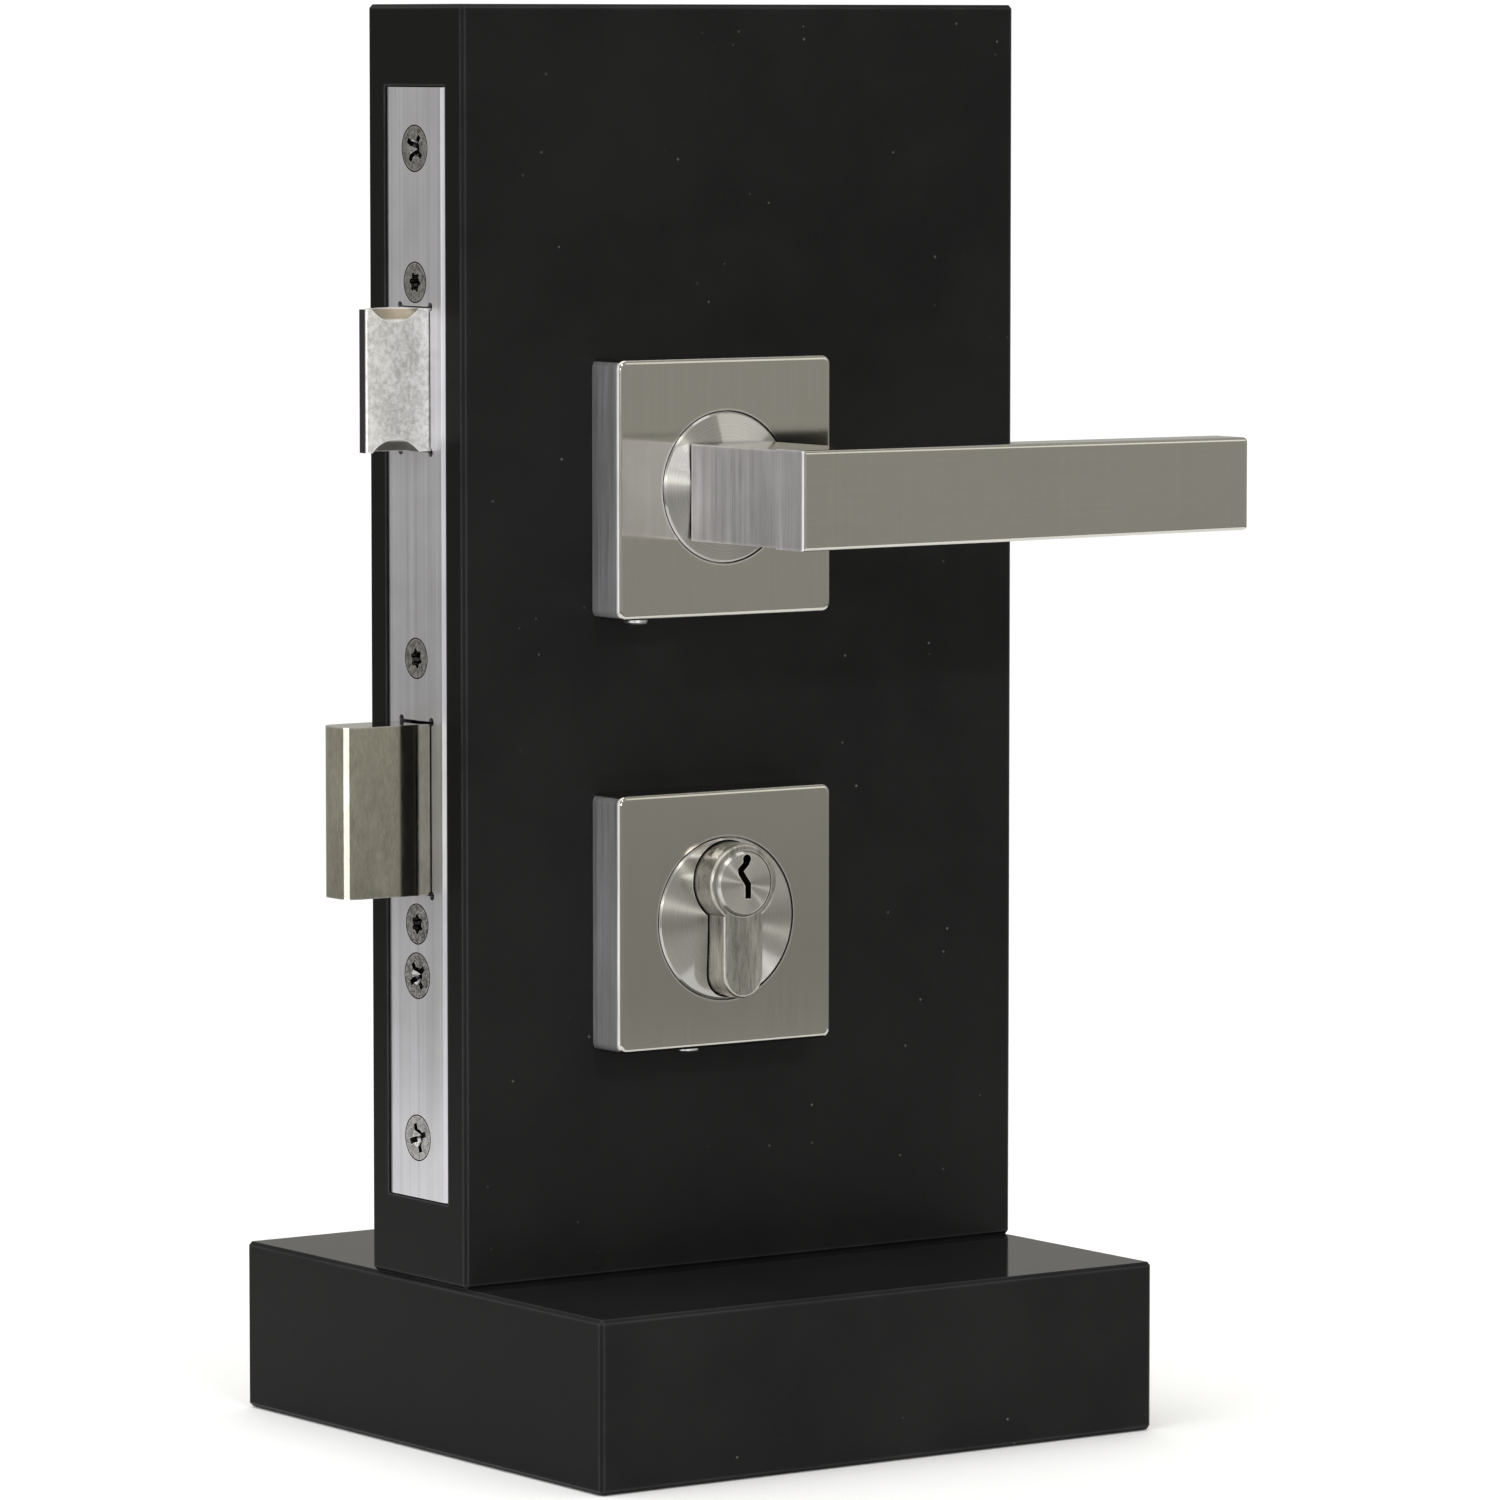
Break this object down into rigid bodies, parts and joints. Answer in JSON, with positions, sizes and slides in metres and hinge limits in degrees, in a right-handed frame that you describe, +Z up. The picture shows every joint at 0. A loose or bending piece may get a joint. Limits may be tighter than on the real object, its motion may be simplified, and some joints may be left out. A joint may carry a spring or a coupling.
{
  "type": "mortice door lock with lever and deadbolt",
  "caption": "Mortice deadbolt lock with sprung latch, square lever roses, euro cylinder and edge forend, fitted in a black upright door block on a base.",
  "frame": {"origin": "centre of the stand's underside, on the surface that it stands on", "axes": "+Z up; +X across the door from the forend edge towards the levers' tips; +Y through the door from the outside lever to the inside lever"},
  "size_m": [0.1888, 0.1404, 0.3065],
  "materials": {
    "black_board": "satin black lacquer over board",
    "stainless_forend": "long-grain brushed",
    "satin_nickel": "satin nickel, finely brushed",
    "plug_nickel": "turned satin nickel",
    "cast_nickel": "as-cast nickel plate",
    "polished_nickel": "polished nickel plate",
    "screw_steel": "bright screw steel",
    "plated_steel": "zinc-plated",
    "spring_steel": "drawn spring wire",
    "brass": "machined"
  },
  "bodies": {
    "root": {"stand_base": "black_board", "door_block": "black_board", "stand_screws": "plated_steel", "forend": "stainless_forend", "inner_forend": "plated_steel", "door_fixing_screws": "screw_steel", "forend_plate_screws": "screw_steel", "cylinder_fixing_screw": "screw_steel", "lock_case": "plated_steel", "case_cover": "plated_steel", "case_screws": "plated_steel", "latch_spring": "spring_steel", "follower_spring": "spring_steel", "detent_spring": "spring_steel", "cylinder_body": "satin_nickel", "driver_pins": "brass", "pin_springs": "spring_steel", "chamber_plugs": "brass", "rose_grub_screws": "plated_steel", "lever_rose_posts": "plated_steel", "lever_rose_bolts": "plated_steel", "cylinder_rose_posts": "plated_steel", "cylinder_rose_bolts": "plated_steel", "lever_rose_front": "satin_nickel", "lever_base_plate_front": "plated_steel", "lever_return_spring_front": "spring_steel", "cylinder_rose_front": "satin_nickel", "cylinder_insert_front": "satin_nickel", "cylinder_base_plate_front": "plated_steel", "lever_rose_rear": "satin_nickel", "lever_base_plate_rear": "plated_steel", "lever_return_spring_rear": "spring_steel", "cylinder_rose_rear": "satin_nickel", "cylinder_insert_rear": "satin_nickel", "cylinder_base_plate_rear": "plated_steel"},
    "lever_set": {"lever_front": "satin_nickel", "lever_rear": "satin_nickel", "lever_collar_front": "satin_nickel", "lever_collar_rear": "satin_nickel", "spindle": "plated_steel", "lever_grub_screws": "plated_steel", "lever_circlips": "plated_steel", "follower": "plated_steel"},
    "latch": {"latch_bolt": "cast_nickel", "latch_tail": "plated_steel", "latch_rivet": "plated_steel"},
    "deadbolt_set": {"deadbolt": "polished_nickel", "deadbolt_tail": "plated_steel", "deadbolt_rivets": "plated_steel"},
    "front_plug": {"plug_front": "plug_nickel", "key_pins_front": "brass"},
    "rear_plug": {"plug_rear": "plug_nickel", "key_pins_rear": "brass"},
    "cam_set": {"cam": "plated_steel", "cam_clutch": "plated_steel"}
  },
  "joints": [
    {"name": "lever_turn", "type": "hinge", "parent": "root", "child": "lever_set", "pos_m": [-0.01175, 0, 0.2045], "axis": [0, 1, 0], "range_deg": [0, 45], "stiffness_Nm_per_rad": 1.6, "springref_deg": -22.92, "deforming": ["follower_spring"]},
    {"name": "latch_slide", "type": "slide", "parent": "root", "child": "latch", "axis": [1, 0, 0], "range_m": [0, 0.017], "deforming": ["latch_spring"]},
    {"name": "front_key_turn", "type": "hinge", "parent": "root", "child": "front_plug", "pos_m": [-0.01175, 0, 0.1205], "axis": [0, 1, 0], "range_deg": [0, 360]},
    {"name": "cam_turn", "type": "hinge", "parent": "root", "child": "cam_set", "pos_m": [-0.01175, 0, 0.1205], "axis": [0, 1, 0], "range_deg": [0, 360]},
    {"name": "deadbolt_slide", "type": "slide", "parent": "root", "child": "deadbolt_set", "axis": [1, 0, 0], "range_m": [0, 0.022]},
    {"name": "rear_key_turn", "type": "hinge", "parent": "root", "child": "rear_plug", "pos_m": [-0.01175, 0, 0.1205], "axis": [0, 1, 0], "range_deg": [0, 360]}
  ],
  "couplings": [
    {"joint": "latch_slide", "follows": "lever_turn", "m_per_rad": 0.021644},
    {"joint": "front_key_turn", "follows": "deadbolt_slide", "rad_per_m": 285.6},
    {"joint": "cam_turn", "follows": "deadbolt_slide", "rad_per_m": 285.6}
  ]
}
